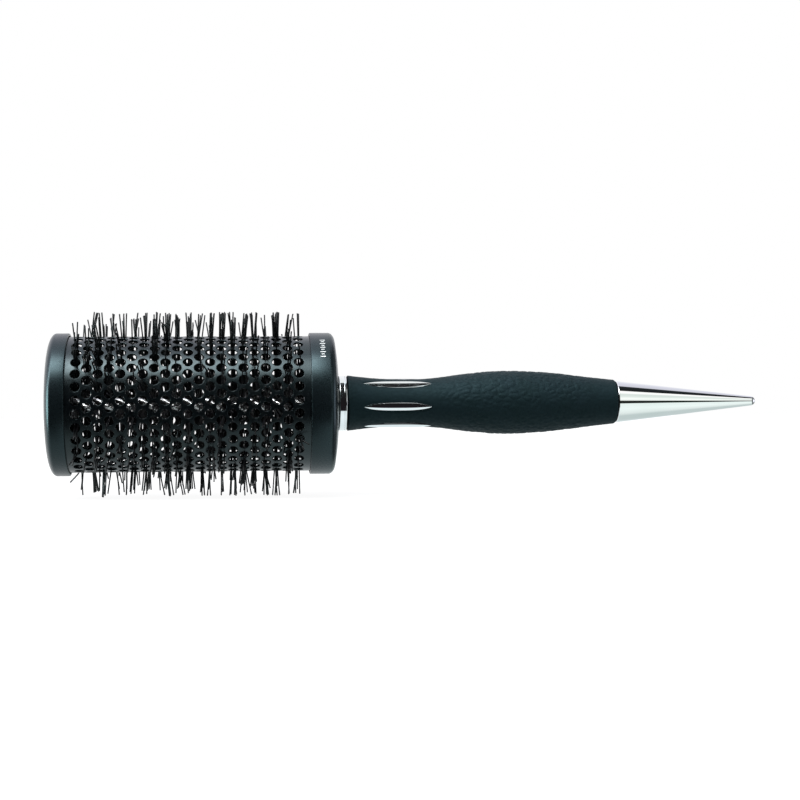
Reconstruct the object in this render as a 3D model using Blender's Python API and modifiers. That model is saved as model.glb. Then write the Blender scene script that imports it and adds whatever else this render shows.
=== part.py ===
"""Round barrel brush: a perforated barrel on a bristled wire core, and a soft-grip handle with a long tail.

Blender 4.5, metres, +Z up. The brush's axis is X. The origin is the centre of the front cap's flat face,
and the tail points along +X. Turned pieces are drawn with their axis along Z and then laid along X.

    blender --background --python part.py
"""

import math

import bmesh
import bpy
from mathutils import Matrix, Vector

MM = 0.001
GAP = 0.3 * MM
MERGE = 1e-5

# Positions along the axis, from the front face.
FRONT_CAP_END = 7.7 * MM
REAR_CAP_START = 97.6 * MM
REAR_CAP_END = 107.2 * MM
REAR_CAP_CROWN = 108.4 * MM
GRIP_START = 112.1 * MM
GRIP_END = 215.9 * MM
TAIL_START = 216.2 * MM
TAIL_END = 271.8 * MM

# Barrel and its caps. A cap's outer edge is a quarter of an ellipse: so deep along the axis, so wide across.
CAP_R = 26.9 * MM
CAP_WALL = 0.9 * MM
CAP_FACE = 2.2 * MM
FRONT_EDGE_DEPTH = 3.0 * MM
FRONT_EDGE_WIDTH = 7.0 * MM
REAR_EDGE_DEPTH = 2.5 * MM
REAR_EDGE_WIDTH = 3.5 * MM
RIM_FILLET = 0.4 * MM
DOME_STEPS = 4
BARREL_R = 25.65 * MM
BARREL_WALL = 0.8 * MM
BARREL_START = 2.6 * MM
BARREL_END = 103.9 * MM

# Air holes: rings of holes, each ring turned by a quarter of a step from the one before it.
RINGS = 21
HOLES_PER_RING = 16
FIRST_RING = 11.58 * MM
RING_STEP = 4.08 * MM
HOLE_R = 2.2 * MM
FIRST_HOLE_ANGLE = math.radians(3.4)

# Bristles and the twisted wires that carry them.
BRISTLE_TIP_R = 35.0 * MM
BRISTLE_HUB_R = 4.3 * MM
BRISTLE_THICKNESS = 0.6 * MM
BRISTLE_BASE_WIDTH = 1.0 * MM
WIRE_R = 1.2 * MM
WIRE_HELIX_R = 1.4 * MM
WIRE_PITCH = 4 * RING_STEP
WIRE_START = 4.6 * MM
WIRE_END = 117.5 * MM
WIRE_POINTS_PER_TURN = 10
WIRE_END_ROOM = 1.0 * MM
WIRE_SIDE_ROOM = 0.4 * MM
CORE_R = WIRE_HELIX_R + WIRE_R

# Plugs inside the barrel's two ends.
PLUG_R = 24.2 * MM
PLUG_WEB = 2.8 * MM
PLUG_BOSS_R = 5.2 * MM
PLUG_BOSS = 6.0 * MM
REAR_BOSS_WALL = 2.2 * MM
REAR_PLUG_START = 98.7 * MM

# Handle.
SPIGOT_R = 6.2 * MM
HANDLE_CORE_R = 8.3 * MM
HANDLE_STEM_R = 6.5 * MM
FERRULE_R = 10.5 * MM
RUBBER_INNER_R = HANDLE_STEM_R + GAP
STUD_R = 2.0 * MM
STUD_START = 202.6 * MM
STUD_END = 230.6 * MM

# Rubber grip: outer radius at places along it.
GRIP_OUTLINE = (
    (0.0 * MM, 10.6 * MM),
    (5.0 * MM, 10.0 * MM),
    (9.0 * MM, 9.6 * MM),
    (13.0 * MM, 9.3 * MM),
    (19.0 * MM, 9.0 * MM),
    (25.0 * MM, 8.95 * MM),
    (31.0 * MM, 9.3 * MM),
    (37.0 * MM, 9.9 * MM),
    (44.0 * MM, 10.85 * MM),
    (54.0 * MM, 11.85 * MM),
    (62.0 * MM, 12.15 * MM),
    (70.0 * MM, 11.9 * MM),
    (80.0 * MM, 11.2 * MM),
    (90.0 * MM, 10.0 * MM),
    (96.0 * MM, 9.3 * MM),
    (102.5 * MM, 8.6 * MM),
    (103.8 * MM, 8.0 * MM),
)

# Leaf-shaped inlays around the grip's waist.
INLAYS = 6
INLAY_CENTRE = 131.9 * MM
INLAY_LENGTH = 26.0 * MM
INLAY_WIDTH = 3.2 * MM
INLAY_BOTTOM_R = 7.9 * MM
INLAY_TOP_R = 9.75 * MM
INLAY_FIRST_ANGLE = math.radians(-10.0)
POCKET_TOP_R = 12.0 * MM
POCKET_END_ROOM = 4 * GAP
INLAY_ARC_POINTS = 9

# Tail.
TAIL_BASE_R = 8.05 * MM
TAIL_TIP_R = 1.8 * MM

LARGE_SIDES = 32
PLUG_SIDES = 24
HANDLE_SIDES = 28
STUD_SIDES = 12


def clear_scene():
    for obj in list(bpy.data.objects):
        bpy.data.objects.remove(obj, do_unlink=True)


def new_collection(name, hidden=False):
    collection = bpy.data.collections.new(name)
    bpy.context.scene.collection.children.link(collection)
    collection.hide_render = hidden
    return collection


def material(name, colour, roughness, metallic=0.0):
    """A plain Principled material; colour is linear red, green and blue."""
    made = bpy.data.materials.new(name)
    made.use_nodes = True
    shader = made.node_tree.nodes["Principled BSDF"]
    shader.inputs["Base Color"].default_value = (*colour, 1.0)
    shader.inputs["Roughness"].default_value = roughness
    shader.inputs["Metallic"].default_value = metallic
    return made


def satin_black(name):
    return material(name, (0.012, 0.015, 0.017), 0.38)


def chrome(name):
    return material(name, (0.80, 0.81, 0.82), 0.08, 1.0)


def add_object(name, data, collection, look):
    obj = bpy.data.objects.new(name, data)
    collection.objects.link(obj)
    if look:
        data.materials.append(look)
    return obj


def lay_along_x(obj):
    """Turns a piece drawn with its axis along Z so that its axis lies along X."""
    obj.rotation_euler = (0.0, math.radians(90.0), 0.0)


def oval_edge(centre_x, centre_r, depth, width, start, end, steps):
    """Points (x, r) of an elliptical edge. Angles are in degrees: 0 is outwards, and 90 is towards +X."""
    points = []
    for step in range(steps + 1):
        angle = math.radians(start + (end - start) * step / steps)
        points.append((centre_x + depth * math.sin(angle), centre_r + width * math.cos(angle)))
    return points


def fillet(centre_x, centre_r, radius, start, end, steps):
    """Points (x, r) of a round edge, with the same angles."""
    return oval_edge(centre_x, centre_r, radius, radius, start, end, steps)


def turned(name, outline, sides, collection, look, closed=False):
    """A turned piece. Its outline of (x, r) points runs along the outside from +X to -X."""
    mesh = bpy.data.meshes.new(name)
    count = len(outline)
    edges = [(index, index + 1) for index in range(count - 1)]
    if closed:
        edges.append((count - 1, 0))
    mesh.from_pydata([(r, 0.0, x) for x, r in outline], edges, [])
    obj = add_object(name, mesh, collection, look)
    lay_along_x(obj)
    screw = obj.modifiers.new("turn", "SCREW")
    screw.steps = sides
    screw.render_steps = sides
    screw.use_merge_vertices = True
    screw.merge_threshold = MERGE
    screw.use_smooth_shade = True
    return obj


def add_front_cap(collection):
    """A moulded cap with a flat face and a skirt that covers the barrel's front end."""
    inside_r = CAP_R - CAP_WALL
    outline = [
        (CAP_FACE, 0.0),
        (CAP_FACE, inside_r),
        (FRONT_CAP_END, inside_r),
    ]
    outline += fillet(FRONT_CAP_END - RIM_FILLET, CAP_R - RIM_FILLET, RIM_FILLET, 90.0, 0.0, 2)
    edge_r = CAP_R - FRONT_EDGE_WIDTH
    outline += oval_edge(FRONT_EDGE_DEPTH, edge_r, FRONT_EDGE_DEPTH, FRONT_EDGE_WIDTH, 0.0, -90.0, 7)
    outline.append((0.0, 0.0))
    turned("front_cap", outline, LARGE_SIDES, collection, satin_black("front_cap_plastic"))


def add_front_plug(collection):
    """A disc in the barrel's front end, whose boss holds the end of the twisted wires."""
    start = CAP_FACE + GAP
    socket_r = CORE_R + WIRE_SIDE_ROOM
    outline = [
        (WIRE_START - WIRE_END_ROOM, 0.0),
        (WIRE_START - WIRE_END_ROOM, socket_r),
        (start + PLUG_BOSS, socket_r),
        (start + PLUG_BOSS, PLUG_BOSS_R),
        (start + PLUG_WEB, PLUG_BOSS_R),
        (start + PLUG_WEB, PLUG_R),
        (start, PLUG_R),
        (start, 0.0),
    ]
    turned("front_plug", outline, PLUG_SIDES, collection, satin_black("front_plug_plastic"))


def add_rear_cap(collection):
    """The collar between barrel and handle: a skirt over the barrel's rear end and a slightly domed back."""
    inside_r = CAP_R - CAP_WALL
    bore_r = HANDLE_CORE_R + GAP
    web_start = BARREL_END + GAP
    edge_r = CAP_R - REAR_EDGE_WIDTH
    outline = [(web_start, bore_r), (REAR_CAP_CROWN, bore_r)]
    for step in range(DOME_STEPS):
        share = step / DOME_STEPS
        dome = (REAR_CAP_CROWN - REAR_CAP_END) * (1.0 - share**2)
        outline.append((REAR_CAP_END + dome, FERRULE_R + (edge_r - FERRULE_R) * share))
    centre_x = REAR_CAP_END - REAR_EDGE_DEPTH
    outline += oval_edge(centre_x, edge_r, REAR_EDGE_DEPTH, REAR_EDGE_WIDTH, 90.0, 0.0, 4)
    outline += fillet(REAR_CAP_START + RIM_FILLET, CAP_R - RIM_FILLET, RIM_FILLET, 0.0, -90.0, 2)
    outline += [
        (REAR_CAP_START, inside_r),
        (web_start, inside_r),
    ]
    turned("rear_cap", outline, LARGE_SIDES, collection, satin_black("rear_cap_plastic"), closed=True)


def add_rear_plug(collection):
    """A disc in the barrel's rear end, with a bore for the handle's spigot."""
    bore_r = SPIGOT_R + GAP
    boss_r = bore_r + REAR_BOSS_WALL
    outline = [
        (REAR_PLUG_START, bore_r),
        (BARREL_END, bore_r),
        (BARREL_END, PLUG_R),
        (BARREL_END - PLUG_WEB, PLUG_R),
        (BARREL_END - PLUG_WEB, boss_r),
        (REAR_PLUG_START, boss_r),
    ]
    turned("rear_plug", outline, PLUG_SIDES, collection, satin_black("rear_plug_plastic"), closed=True)


def ring_x(ring):
    return FIRST_RING + RING_STEP * ring


def ring_turn(ring):
    """Angle of a ring's first hole, from -Y towards +Z. The turn grows by a quarter step with each ring."""
    quarter_step = math.tau / HOLES_PER_RING / 4
    return FIRST_HOLE_ANGLE + quarter_step * ring


def on_barrel(x, angle):
    """A point on the barrel, at an angle from -Y towards +Z."""
    return Vector((x, -BARREL_R * math.cos(angle), BARREL_R * math.sin(angle)))


def hole_corners(sheet, ring, hole):
    """The four corners of one hole, as vertices: front, rear, low and high."""
    centre = ring_turn(ring) + math.tau * hole / HOLES_PER_RING
    half_angle = HOLE_R / BARREL_R
    x = ring_x(ring)
    return {
        "front": sheet.verts.new(on_barrel(x - HOLE_R, centre)),
        "rear": sheet.verts.new(on_barrel(x + HOLE_R, centre)),
        "low": sheet.verts.new(on_barrel(x, centre - half_angle)),
        "high": sheet.verts.new(on_barrel(x, centre + half_angle)),
    }


def next_hole(ring, hole):
    return ring[(hole + 1) % HOLES_PER_RING]


def fill_between_rings(sheet, rings):
    """The metal between neighbouring holes: a bar on each side of a hole, and a patch beside it."""
    for ring in range(RINGS - 1):
        for hole in range(HOLES_PER_RING):
            here = rings[ring][hole]
            beside = next_hole(rings[ring], hole)
            behind = rings[ring + 1][hole]
            sheet.faces.new((here["rear"], here["high"], behind["front"], behind["low"]))
            sheet.faces.new((behind["front"], beside["low"], beside["rear"], behind["high"]))
            if ring > 0:
                ahead = next_hole(rings[ring - 1], hole)
                sheet.faces.new((here["high"], ahead["rear"], beside["low"], behind["front"]))


def fill_margin(sheet, rim_x, first_angle, end_ring, inner_holes, outward):
    """The plain band between a barrel's end and its last ring of holes.

    inner_holes are the next ring's holes, each between two of the end ring's. outward names the hole corner
    that faces the end.
    """
    step = math.pi / HOLES_PER_RING
    angles = [first_angle + step * index for index in range(2 * HOLES_PER_RING)]
    rim = [sheet.verts.new(on_barrel(rim_x, angle)) for angle in angles]
    for hole in range(HOLES_PER_RING):
        here = end_ring[hole]
        beside = next_hole(end_ring, hole)
        inner = inner_holes[hole]
        over, between = rim[2 * hole], rim[2 * hole + 1]
        after = rim[(2 * hole + 2) % len(rim)]
        sheet.faces.new((over, between, here["high"], here[outward]))
        sheet.faces.new((between, inner[outward], here["high"]))
        sheet.faces.new((between, beside["low"], inner[outward]))
        sheet.faces.new((between, after, beside[outward], beside["low"]))


def add_barrel(collection):
    """A rolled sheet-metal tube with staggered air holes, thickened inwards."""
    sheet = bmesh.new()
    holes = range(HOLES_PER_RING)
    rings = [[hole_corners(sheet, ring, hole) for hole in holes] for ring in range(RINGS)]
    fill_between_rings(sheet, rings)
    fill_margin(sheet, BARREL_START, ring_turn(0), rings[0], rings[1], "front")
    inner_holes = [next_hole(rings[-2], hole) for hole in holes]
    fill_margin(sheet, BARREL_END, ring_turn(RINGS - 1), rings[-1], inner_holes, "rear")
    bmesh.ops.triangulate(sheet, faces=sheet.faces[:], quad_method="SHORT_EDGE")
    bmesh.ops.recalc_face_normals(sheet, faces=sheet.faces[:])
    mesh = bpy.data.meshes.new("barrel_tube")
    sheet.to_mesh(mesh)
    sheet.free()
    look = material("barrel_metal", (0.010, 0.013, 0.014), 0.22, 0.4)
    tube = add_object("barrel_tube", mesh, collection, look)
    wall = tube.modifiers.new("wall", "SOLIDIFY")
    wall.thickness = BARREL_WALL
    wall.offset = -1.0


def add_core_wires(collection):
    """Two steel wires twisted together, right-handed about +X."""
    turns = (WIRE_END - WIRE_START) / WIRE_PITCH
    count = round(turns * WIRE_POINTS_PER_TURN) + 1
    for letter, start_angle in (("a", 0.0), ("b", math.pi)):
        curve = bpy.data.curves.new("core_wire_" + letter, "CURVE")
        curve.dimensions = "3D"
        curve.bevel_depth = WIRE_R
        curve.bevel_resolution = 2
        curve.use_fill_caps = True
        spline = curve.splines.new("POLY")
        spline.points.add(count - 1)
        for index, point in enumerate(spline.points):
            along = (WIRE_END - WIRE_START) * index / (count - 1)
            angle = start_angle + math.tau * along / WIRE_PITCH
            y = WIRE_HELIX_R * math.cos(angle)
            z = WIRE_HELIX_R * math.sin(angle)
            point.co = (WIRE_START + along, y, z, 1.0)
        look = material("core_wire_steel_" + letter, (0.62, 0.63, 0.64), 0.25, 1.0)
        add_object("core_wire_" + letter, curve, collection, look)


def star_outline():
    """Outer points of a ring of bristle tufts: one narrow spike for each hole."""
    points = []
    half_base = BRISTLE_BASE_WIDTH / 2 / BRISTLE_HUB_R
    for tuft in range(HOLES_PER_RING):
        centre = math.tau * tuft / HOLES_PER_RING
        for offset, r in ((-half_base, BRISTLE_HUB_R), (0.0, BRISTLE_TIP_R), (half_base, BRISTLE_HUB_R)):
            points.append((r * math.cos(centre + offset), r * math.sin(centre + offset)))
    return points


def polygon(sides, r):
    return [(r * math.cos(math.tau * k / sides), r * math.sin(math.tau * k / sides)) for k in range(sides)]


def flat_outline(name, outlines, thickness):
    """A flat shape with square edges, from closed outlines of (x, y) points."""
    curve = bpy.data.curves.new(name, "CURVE")
    curve.dimensions = "2D"
    curve.fill_mode = "BOTH"
    curve.extrude = thickness / 2
    for outline in outlines:
        spline = curve.splines.new("POLY")
        spline.points.add(len(outline) - 1)
        for point, (x, y) in zip(spline.points, outline):
            point.co = (x, y, 0.0, 1.0)
        spline.use_cyclic_u = True
    return curve


def add_bristle_rings(collection):
    """One ring of bristle tufts for each ring of holes, around the wires and out through the holes."""
    hub_hole_r = (CORE_R + GAP) / math.cos(math.pi / 6)
    star = flat_outline("bristle_ring", [star_outline(), polygon(6, hub_hole_r)], BRISTLE_THICKNESS)
    star.materials.append(material("bristle_nylon", (0.008, 0.009, 0.010), 0.45))
    for ring in range(RINGS):
        obj = add_object(f"bristle_ring_{ring + 1:02d}", star, collection, None)
        # The outline's own X axis points to -Y at an angle of zero, as the holes' angles do.
        towards = Matrix(((0.0, 0.0, 1.0), (-1.0, 0.0, 0.0), (0.0, -1.0, 0.0))).to_4x4()
        turn = Matrix.Rotation(-ring_turn(ring), 4, "X")
        obj.matrix_world = Matrix.Translation((ring_x(ring), 0.0, 0.0)) @ turn @ towards


def add_ferrule(collection):
    """The chrome ring between the collar and the grip."""
    start = REAR_CAP_CROWN + GAP
    end = GRIP_START - GAP
    edge = 0.5 * MM
    bore_r = HANDLE_CORE_R + GAP
    outline = [(start, bore_r), (end, bore_r)]
    outline += fillet(end - edge, FERRULE_R - edge, edge, 90.0, 0.0, 2)
    outline += fillet(start + edge, FERRULE_R - edge, edge, 0.0, -90.0, 2)
    turned("neck_ferrule", outline, HANDLE_SIDES, collection, chrome("neck_chrome"), closed=True)


def add_handle_core(collection):
    """The stiff core: a spigot in the barrel, a shoulder, and a stem in the rubber with a bore at each end."""
    wire_bore_r = CORE_R + WIRE_SIDE_ROOM
    stud_bore_r = STUD_R + GAP
    shoulder_start = BARREL_END + GAP
    shoulder_end = GRIP_START - GAP
    outline = [
        (STUD_START - GAP, 0.0),
        (STUD_START - GAP, stud_bore_r),
        (GRIP_END, stud_bore_r),
        (GRIP_END, HANDLE_STEM_R),
        (shoulder_end, HANDLE_STEM_R),
        (shoulder_end, HANDLE_CORE_R),
        (shoulder_start, HANDLE_CORE_R),
        (shoulder_start, SPIGOT_R),
        (REAR_PLUG_START, SPIGOT_R),
        (REAR_PLUG_START, wire_bore_r),
        (WIRE_END + WIRE_END_ROOM, wire_bore_r),
        (WIRE_END + WIRE_END_ROOM, 0.0),
    ]
    turned("handle_core", outline, HANDLE_SIDES, collection, satin_black("handle_core_plastic"))


def leaf_outline(length, width):
    """A leaf shape with its length along X: two equal arcs that meet in points."""
    half_length, half_width = length / 2, width / 2
    radius = (half_length**2 + half_width**2) / (2 * half_width)
    sweep = math.asin(half_length / radius)
    upper = []
    for step in range(INLAY_ARC_POINTS):
        angle = sweep - 2 * sweep * step / INLAY_ARC_POINTS
        upper.append((radius * math.sin(angle), radius * math.cos(angle) - radius + half_width))
    return upper + [(-x, -y) for x, y in upper]


def place_around_grip(obj, index, middle_r):
    """Puts a flat leaf at its angle around the axis. Angles run from -Y towards +Z."""
    angle = INLAY_FIRST_ANGLE + math.tau * index / INLAYS
    facing = Matrix.Rotation(math.radians(90.0) - angle, 4, "X")
    outward = Matrix.Translation((INLAY_CENTRE, 0.0, 0.0)) @ facing
    obj.matrix_world = outward @ Matrix.Translation((0.0, 0.0, middle_r))


def pocket_cutter(index, cutters):
    """A solid a little larger than an inlay, which cuts its pocket in the rubber."""
    bottom_r = INLAY_BOTTOM_R - GAP
    outline = leaf_outline(INLAY_LENGTH + 2 * POCKET_END_ROOM, INLAY_WIDTH + 2 * GAP)
    curve = flat_outline("pocket_outline", [outline], POCKET_TOP_R - bottom_r)
    guide = add_object("pocket_guide", curve, cutters, None)
    graph = bpy.context.evaluated_depsgraph_get()
    mesh = bpy.data.meshes.new_from_object(guide.evaluated_get(graph))
    bpy.data.objects.remove(guide, do_unlink=True)
    welded = bmesh.new()
    welded.from_mesh(mesh)
    bmesh.ops.remove_doubles(welded, verts=welded.verts[:], dist=MERGE)
    bmesh.ops.recalc_face_normals(welded, faces=welded.faces[:])
    welded.to_mesh(mesh)
    welded.free()
    cutter = add_object(f"pocket_cutter_{index + 1}", mesh, cutters, None)
    cutter.hide_render = True
    cutter.display_type = "WIRE"
    place_around_grip(cutter, index, (POCKET_TOP_R + bottom_r) / 2)
    return cutter


def add_grip(collection, cutters):
    """The rubber sleeve on the handle's stem, with a pocket for each inlay."""
    outline = [(GRIP_START, RUBBER_INNER_R), (GRIP_END, RUBBER_INNER_R)]
    outline += [(GRIP_START + along, r) for along, r in reversed(GRIP_OUTLINE)]
    look = material("grip_rubber", (0.014, 0.017, 0.019), 0.75)
    grip = turned("grip_sleeve", outline, HANDLE_SIDES, collection, look, closed=True)
    for index in range(INLAYS):
        cut = grip.modifiers.new(f"pocket_{index + 1}", "BOOLEAN")
        cut.operation = "DIFFERENCE"
        cut.solver = "EXACT"
        cut.object = pocket_cutter(index, cutters)


def add_inlays(collection):
    """Leaf-shaped chrome strips set in the grip's waist, a little proud of the rubber at mid-length."""
    outline = leaf_outline(INLAY_LENGTH, INLAY_WIDTH)
    for index in range(INLAYS):
        name = f"grip_inlay_{index + 1}"
        leaf = flat_outline(name, [outline], INLAY_TOP_R - INLAY_BOTTOM_R)
        obj = add_object(name, leaf, collection, chrome(f"inlay_chrome_{index + 1}"))
        place_around_grip(obj, index, (INLAY_TOP_R + INLAY_BOTTOM_R) / 2)


def add_tail(collection):
    """The sectioning tail: a long chrome cone with a round tip, and a bore for its stud."""
    bore_r = STUD_R + GAP
    slope = (TAIL_BASE_R - TAIL_TIP_R) / (TAIL_END - TAIL_START)
    lean = math.degrees(math.atan(slope))
    edge = 0.3 * MM
    outline = fillet(TAIL_END - TAIL_TIP_R, 0.0, TAIL_TIP_R, 90.0, lean, 4)
    outline += [
        (TAIL_START + edge, TAIL_BASE_R),
        (TAIL_START, TAIL_BASE_R - edge),
        (TAIL_START, bore_r),
        (STUD_END + GAP, bore_r),
        (STUD_END + GAP, 0.0),
    ]
    outline[0] = (TAIL_END, 0.0)
    turned("tail_cone", outline, HANDLE_SIDES, collection, chrome("tail_chrome"))


def add_tail_stud(collection):
    """The threaded rod, drawn plain, that joins the tail to the handle's core."""
    outline = [(STUD_END, 0.0), (STUD_END, STUD_R), (STUD_START, STUD_R), (STUD_START, 0.0)]
    look = material("stud_steel", (0.45, 0.45, 0.46), 0.35, 1.0)
    turned("tail_stud", outline, STUD_SIDES, collection, look)


def main():
    clear_scene()
    parts = new_collection("round_barrel_brush")
    cutters = new_collection("cutters", hidden=True)
    add_front_cap(parts)
    add_front_plug(parts)
    add_barrel(parts)
    add_rear_cap(parts)
    add_rear_plug(parts)
    add_core_wires(parts)
    add_bristle_rings(parts)
    add_ferrule(parts)
    add_handle_core(parts)
    add_grip(parts, cutters)
    add_inlays(parts)
    add_tail(parts)
    add_tail_stud(parts)


main()
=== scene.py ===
"""Looks of the round barrel brush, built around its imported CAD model.

Metres, +X from the front face to the tail's tip, +Z up. Angles around the axis run from -Y towards +Z.
"""

import math
import random

import bmesh
import bpy
from mathutils import Matrix, Vector, noise


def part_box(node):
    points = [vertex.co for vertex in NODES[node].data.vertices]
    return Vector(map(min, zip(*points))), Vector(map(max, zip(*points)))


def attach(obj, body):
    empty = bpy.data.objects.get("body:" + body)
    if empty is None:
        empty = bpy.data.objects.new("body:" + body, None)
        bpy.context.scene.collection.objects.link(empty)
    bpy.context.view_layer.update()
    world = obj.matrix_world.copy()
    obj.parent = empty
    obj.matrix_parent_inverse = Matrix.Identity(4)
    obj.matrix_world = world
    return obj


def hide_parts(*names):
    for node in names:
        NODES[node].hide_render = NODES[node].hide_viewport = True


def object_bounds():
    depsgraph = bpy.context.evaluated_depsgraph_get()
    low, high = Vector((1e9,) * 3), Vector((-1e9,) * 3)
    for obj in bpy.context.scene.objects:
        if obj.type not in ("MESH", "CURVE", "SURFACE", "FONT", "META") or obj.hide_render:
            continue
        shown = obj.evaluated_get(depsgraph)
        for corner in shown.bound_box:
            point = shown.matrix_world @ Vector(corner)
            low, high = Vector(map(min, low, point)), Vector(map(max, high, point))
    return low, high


MM = 0.001

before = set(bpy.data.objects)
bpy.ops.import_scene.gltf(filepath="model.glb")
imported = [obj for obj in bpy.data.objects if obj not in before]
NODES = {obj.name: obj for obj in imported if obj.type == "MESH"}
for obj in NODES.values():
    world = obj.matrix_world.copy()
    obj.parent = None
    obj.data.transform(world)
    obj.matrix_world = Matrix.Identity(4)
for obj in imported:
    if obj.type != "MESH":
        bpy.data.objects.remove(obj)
CAD_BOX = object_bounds()


def outer_r(node):
    """Largest distance of a CAD node's vertices from the brush's axis."""
    return max(math.hypot(v.co.y, v.co.z) for v in NODES[node].data.vertices)


def start_of(node):
    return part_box(node)[0].x


def end_of(node):
    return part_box(node)[1].x


def middle_of(node):
    lo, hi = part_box(node)
    return (lo.x + hi.x) / 2


# Places and radii that the CAD model gives.
RINGS = 21
RING_NODES = [f"bristle_ring_{k + 1:02d}" for k in range(RINGS)]
RING_X = [middle_of(node) for node in RING_NODES]
RING_STEP = (RING_X[-1] - RING_X[0]) / (RINGS - 1)
BARREL_START = start_of("barrel_tube")
BARREL_END = end_of("barrel_tube")
BARREL_R = outer_r("barrel_tube")
CAP_R = outer_r("front_cap")
FRONT_CAP_END = end_of("front_cap")
REAR_CAP_START = start_of("rear_cap")
REAR_CAP_CROWN = end_of("rear_cap")
FERRULE_START = start_of("neck_ferrule")
FERRULE_END = end_of("neck_ferrule")
FERRULE_R = outer_r("neck_ferrule")
GRIP_START = start_of("grip_sleeve")
GRIP_END = end_of("grip_sleeve")
TAIL_START = start_of("tail_cone")
TAIL_END = end_of("tail_cone")
TAIL_BASE_R = outer_r("tail_cone")
TIP_R = outer_r(RING_NODES[0])
WIRE_START = start_of("core_wire_a")
WIRE_END = end_of("core_wire_a")
WIRE_OUTER_R = outer_r("core_wire_a")

# Caps. An edge is so deep along the axis, and so wide across.
CAP_WALL = 0.9 * MM
CAP_FACE = 2.2 * MM
FRONT_EDGE = (3.0 * MM, 7.0 * MM)
REAR_EDGE = (2.5 * MM, 3.5 * MM)
RIM_FILLET = 0.4 * MM
DISH_R = 17.0 * MM
DISH_DEPTH = 0.35 * MM
REAR_CAP_END = REAR_CAP_CROWN - 1.2 * MM
DOME_STEPS = 10
WEB_GAP = 0.3 * MM
BORE_R = 8.6 * MM

# Mark on the collar: long and short bars by turns.
MARK_X = REAR_CAP_START + 4.6 * MM
MARK_ANGLE = math.radians(51.0)
MARK_STEPS = range(-4, 5)
MARK_SPACING = 1.25 * MM
MARK_THICKNESS = 0.2 * MM
MARK_HALF_HEIGHT = 1.05 * MM
MARK_LONG, MARK_SHORT = 0.9, 0.55
MARK_SUNK = 0.1 * MM
MARK_PROUD = 0.03 * MM

# Barrel sheet and its air holes.
BARREL_WALL = 0.8 * MM
HOLES = 32
HOLE_SIDES = 24
HOLE_R = 1.80 * MM
HOLE_EDGE = 0.2 * MM
FIRST_HOLE = math.radians(3.4)
HALF_HOLE_STEP = math.tau / HOLES / 2

# Core wires.
WIRE_R = 1.2 * MM
WIRE_PITCH = 4 * RING_STEP
WIRE_STEPS = 200

# Bristles. TUFT_CHANCES weighs tufts of none to six filaments.
BRISTLE_SEED = 1200
FILAMENT_R = 0.28 * MM
FILAMENT_STEPS = 9
ROOT_R = 1.0 * MM
ROOT_SHIFT = 0.8
TUFT_CHANCES = (41, 18, 13, 11, 8, 5, 4)
ODD_CHANCE = 0.12
STRAY_SHORTENING = 3.0 * MM
INNER_FILAMENTS = 18

# Ferrule and tail.
FERRULE_EDGE = 0.4 * MM
GROOVE_X = FERRULE_END - 0.9 * MM
GROOVE_DEPTH = 0.13 * MM
TAIL_EDGE = 0.3 * MM
TAIL_TIP_R = 1.8 * MM
STUD_BORE_R = 2.3 * MM
STUD_ROOM = 0.3 * MM

SIDES = 160


# ---------------------------------------------------------------- meshes


def ride(obj, slot, *nodes):
    """Every piece rides on the one body and stands for its CAD nodes, which are hidden. The slot argument is
    not used.
    """
    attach(obj, "root")
    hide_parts(*nodes)
    return obj


def add_mesh(name, verts, faces, look, sharp=40.0):
    """A smooth piece of one material. Edges over sharp degrees stay sharp, or none if sharp is None."""
    mesh = bpy.data.meshes.new(name)
    mesh.from_pydata(verts, [], faces)
    shape = bmesh.new()
    shape.from_mesh(mesh)
    bmesh.ops.recalc_face_normals(shape, faces=shape.faces[:])
    shape.to_mesh(mesh)
    shape.free()
    mesh.materials.append(look)
    mesh.shade_smooth()
    if sharp:
        mesh.set_sharp_from_angle(angle=math.radians(sharp))
    obj = bpy.data.objects.new(name, mesh)
    bpy.context.scene.collection.objects.link(obj)
    return obj


def around(x, r, angle):
    """A point at a radius and an angle around the brush's axis."""
    return Vector((x, -r * math.cos(angle), r * math.sin(angle)))


def bridge(row, other):
    """Faces between two closed rows of vertices. A row of one vertex is a pole on the axis."""
    count = max(len(row), len(other))
    faces = []
    for k in range(count):
        after = (k + 1) % count
        if len(row) == 1:
            faces.append((row[0], other[after], other[k]))
        elif len(other) == 1:
            faces.append((row[k], row[after], other[0]))
        else:
            faces.append((row[k], row[after], other[after], other[k]))
    return faces


def turned(name, outline, look, closed=False):
    """A turned piece. Its outline of (x, r) points runs along the outside from -X to +X."""
    verts, rows = [], []
    for x, r in outline:
        count = 1 if r == 0.0 else SIDES
        rows.append(range(len(verts), len(verts) + count))
        verts += [around(x, r, math.tau * k / SIDES) for k in range(count)]
    faces = []
    for row, other in zip(rows, rows[1:]):
        faces += bridge(row, other)
    if closed:
        faces += bridge(rows[-1], rows[0])
    return add_mesh(name, verts, [face[::-1] for face in faces], look)


def oval_edge(centre_x, centre_r, depth, width, start, end, steps):
    """Points (x, r) of an elliptical edge. Angles are in degrees: 0 is outwards, and 90 is towards +X."""
    points = []
    for step in range(steps + 1):
        angle = math.radians(start + (end - start) * step / steps)
        points.append((centre_x + depth * math.sin(angle), centre_r + width * math.cos(angle)))
    return points


def fillet(centre_x, centre_r, radius, start, end, steps):
    """Points (x, r) of a round edge, with the same angles."""
    return oval_edge(centre_x, centre_r, radius, radius, start, end, steps)


# ---------------------------------------------------------------- materials


# Most of a noise's values lie between these.
NOISE_LOW, NOISE_HIGH = 0.3, 0.7


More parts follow.
